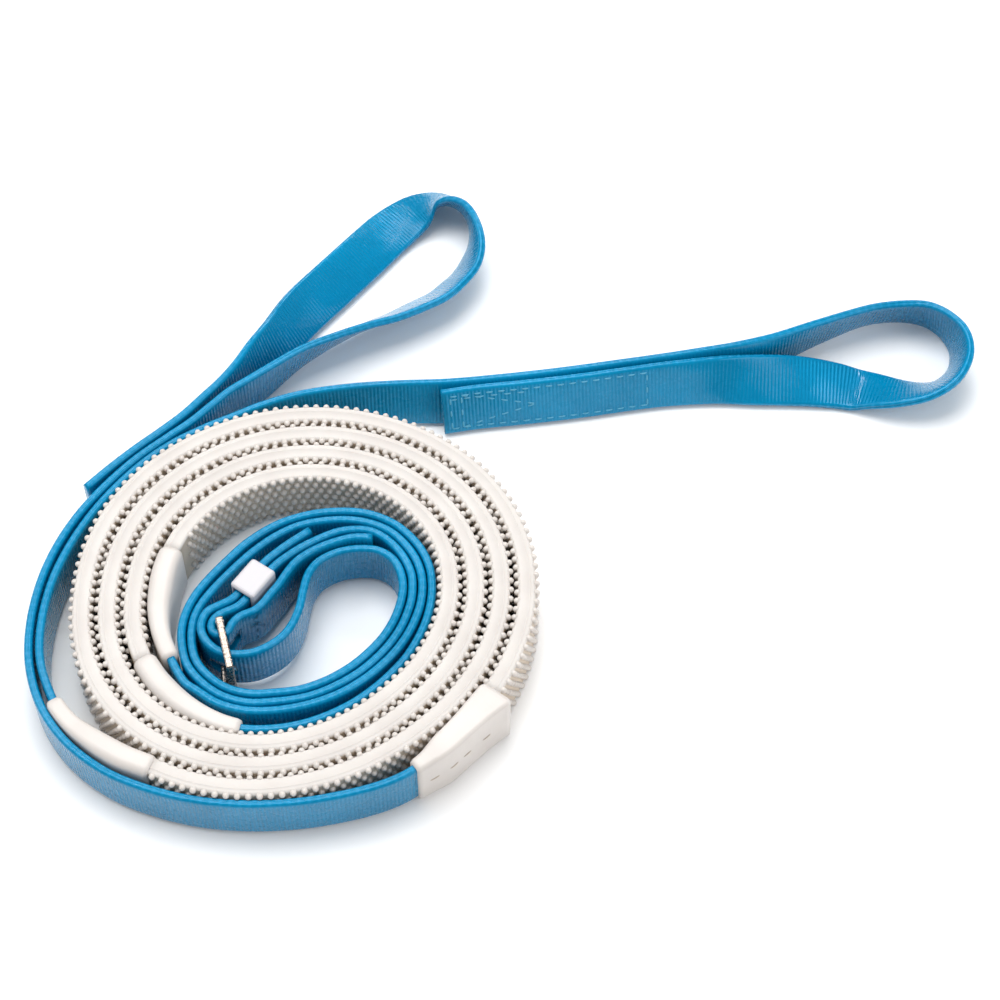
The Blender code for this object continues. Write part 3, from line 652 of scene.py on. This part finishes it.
def cap_outline(thick_first, round_to, square_from=1.0, taper=0.62):
    """Full over the grip's end and slim on the strap. Past square_from the outer face is flat."""
    def outline(f):
        straight = (max(0.0, f - square_from) * CAP_SHORT) ** 2 / (2 * CAP_TURN)
        full = 1 - f if thick_first else f
        s = min(1.0, max(0.0, (full - 0.18 * taper) / taper))
        s = s * s * (3 - 2 * s)
        swell = CAP_CROWN * math.sin(math.pi * min(1, full * 1.02))
        half, low = CAP_HALF_THICK + CAP_THICKER * s + swell, CAP_HALF_TALL + CAP_LOWER * s
        high = CAP_HALF_TALL + CAP_HIGHER * s + swell
        shape = rounded(half, -low, high, CAP_ROUND + (round_to - CAP_ROUND) * s, 6)
        return [(u + straight if u > 0 else u, v) for u, v in shape]
    return outline


def cap(name, route, long, at_start, outline):
    """A smooth cap over the first or last stretch of a route. Returns the run that it covers."""
    spare = Run(route, 1).total - long
    run = Run(route, CAP_STEP, (0.0, spare) if at_start else (spare, 0.0))
    made = loft(name + "_sleeve", run, outline, cap_rubber, END_LONG)
    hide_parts(name)
    return run


cap_a_outline = cap_outline(False, 1.2, square_from=0.32, taper=0.3)
cap_a = cap("cap_a_outer", [LOOP_A[0]] + lead_a, CAP_SHORT, False, cap_a_outline)
cap("cap_b_outer", [(*LOOP_B[-1][:3], 0)] + lead_b, CAP_LONG, False, cap_outline(False, 2.5))
cap("cap_a_inner", exit_a + inner_a, CAP_LONG, True, cap_outline(True, 2.5))
cap("cap_b_inner", exit_b + inner_b, CAP_LONG, True, cap_outline(True, 2.5))


# ---------------------------------------------------------------- stitching
def stitches(name, run, lines, lift, material, dash=2.4, gap=2.2, fat=0.27):
    """Separate stitches on a face, lift out from the middle. Lines join (length, width) points."""
    # How proud and how thick a stitch is at each ring from end to end.
    proud, girth = (0.0, 0.8, 1.0, 1.0, 0.8, 0.0), (0.45, 0.9, 1.0, 1.0, 0.9, 0.45)
    rings, sides = len(girth), 6
    points, faces = [], []
    height = lift if callable(lift) else lambda s: lift
    side = 1 if height(0) > 0 else -1
    for (s0, v0), (s1, v1) in lines:
        long = math.hypot(s1 - s0, v1 - v0)
        count = max(1, int((long + gap) / (dash + gap)))
        for k in range(count):
            t0 = (k * (long + gap) / count) / long
            t1 = min(1.0, t0 + dash / long)
            first = len(points)
            for i in range(rings):
                f = t0 + (t1 - t0) * i / (rings - 1)
                s, v = s0 + (s1 - s0) * f, v0 + (v1 - v0) * f
                middle, across, out, along = run.at(s)
                sewn = (along * (s1 - s0) + across * (v1 - v0)).normalized()
                wide = out.cross(sewn).normalized()
                centre = middle + across * v + out * (height(s) + side * fat * 0.75 * (proud[i] - 0.75))
                for j in range(sides):
                    a = 2 * math.pi / sides * j
                    p = centre + wide * (fat * girth[i] * math.cos(a))
                    points.append(place(p + out * (fat * 0.7 * girth[i] * math.sin(a))))
            for ring in range(first, first + (rings - 1) * sides, sides):
                for j in range(sides):
                    a, b = ring + j, ring + (j + 1) % sides
                    faces.append((a, b, b + sides, a + sides))
            faces.append(tuple(range(first, first + sides))[::-1])
            faces.append(tuple(range(len(points) - sides, len(points))))
    obj = mesh_piece(name, points, faces, material)
    face_outward(obj)
    return obj


def arrow_box(first, last, near, apex, v=5.9):
    """A sewn box, 2 v wide, with a double row at its first end and an arrow that points along it."""
    return [
        ((first, v), (last, v)), ((first, -v), (last, -v)),
        ((first, -v), (first, v)), ((first + near, -v), (first + near, v)), ((last, -v), (last, v)),
        ((first + near, -v), (apex, 0)), ((first + near, v), (apex, 0)),
    ]


face = STRAP_THICK / 2 + 0.05
box_b = arrow_box(first=2.5, last=64.0, near=3.5, apex=29.0) + [((2.5, 4.7), (26.0, 4.7))]
sewn_b = stitches("loop_b_box_stitch", run_b, box_b, face, thread, dash=2.2, gap=1.5)
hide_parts("loop_b_stitching")
box_a = arrow_box(first=2.5, last=54.0, near=3.5, apex=27.0)
sewn_a = stitches("loop_a_box_stitch", run_a, box_a, face, thread)
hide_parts("loop_a_stitching")

# The same stitches come out on the branch of the loop that leads on into the coil.
near_a = run_a.nearest(*LOOP_A[2][:2], first=200)
inside = arrow_box(first=near_a - 4, last=near_a + 47, near=3.5, apex=near_a + 22)
stitches("loop_a_inside_stitch", run_a, inside, face, dark_thread)

cap_row = [((3.0, 0.0), (14.0, 0.7)), ((14.0, 0.7), (27.0, 0.2))]
stitches("cap_stitch", cap_a, cap_row, lambda s: max(u for u, _ in cap_a_outline(s / cap_a.total)),
         cream_thread, dash=3.4, gap=1.5, fat=0.24)

# One row holds the fold behind the buckle, and shows on both faces with some frayed ends of thread.
tail = run_a.nearest(-15.5, -9.6, first=run_a.total - 60)
end_row = [((tail, -6.5), (tail + 0.6, 6.5))]
stitches("buckle_end_stitch", run_a, end_row, -face, dark_thread, dash=2.0, gap=0.9)
stitches("buckle_end_stitch_outside", run_a, end_row, face, dark_thread, dash=2.0, gap=0.9)
frayed = [((tail + 1.5, 1.0), (tail - 0.5, 3.4)), ((tail + 0.8, 0.4), (tail + 2.6, -1.8)),
          ((tail - 0.6, 4.6), (tail + 1.4, 6.4)), ((tail + 0.4, 2.2), (tail - 1.6, 0.8))]
proud = face + 0.15
stitches("buckle_end_loose_thread", run_a, frayed, proud, dark_thread, dash=3.0, gap=0.4, fat=0.14)
stitches("buckle_end_loose_thread_outside", run_a, frayed, -proud, dark_thread, dash=3.0, gap=0.4, fat=0.14)

# ---------------------------------------------------------------- CAD pieces that keep their own shape
for name, material in (("buckle_frame", metal), ("buckle_tongue", metal), ("keeper", plastic)):
    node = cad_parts[name]
    node.data.materials.clear()
    node.data.materials.append(material)

# ---------------------------------------------------------------- floor and light
bpy.ops.object.select_all(action="DESELECT")
bpy.ops.mesh.primitive_plane_add(size=8, location=(0, 0, 0))
floor = bpy.context.object
floor.name = "floor"
pale, shader = new_material("matt_white_card", "#fdfdfd", 0.9)
shader.inputs["Specular IOR Level"].default_value = 0.1
floor.data.materials.append(pale)

# Shiny faces see a dimmer room than the one that fills the shadows, so only the soft boxes shine in them.
world = bpy.data.worlds.new("soft_studio")
bpy.context.scene.world = world
world.use_nodes = True
background = world.node_tree.nodes["Background"]
background.inputs["Color"].default_value = (1, 1, 1, 1)
rays = add(world, "ShaderNodeLightPath")
room = add(world, "ShaderNodeMapRange", {0: rays.outputs["Is Glossy Ray"], 3: 0.52, 4: 0.16})
wire(world, room.outputs[0], background.inputs["Strength"])


def soft_box(name, where, size, watts, tall=None):
    """A square light, or a strip where tall is given, that faces the middle of the object."""
    light = bpy.data.lights.new(name, "AREA")
    light.shape, light.size, light.size_y, light.energy = "RECTANGLE", size, tall or size, watts
    obj = bpy.data.objects.new(name, light)
    bpy.context.scene.collection.objects.link(obj)
    obj.location = where
    obj.rotation_euler = (-Vector(where)).to_track_quat("-Z", "Y").to_euler()


soft_box("overhead_soft_box", (-0.15, 0.3, 1.1), 0.8, 10.5)
soft_box("left_soft_box", (-0.9, 0.1, 0.8), 0.5, 2.5)
soft_box("right_soft_box", (0.9, -0.5, 0.7), 0.7, 4.0)
soft_box("rear_strip", (0.1, 0.9, 0.8), 0.9, 3.0, tall=0.06)
bpy.context.scene.view_settings.view_transform = "Standard"
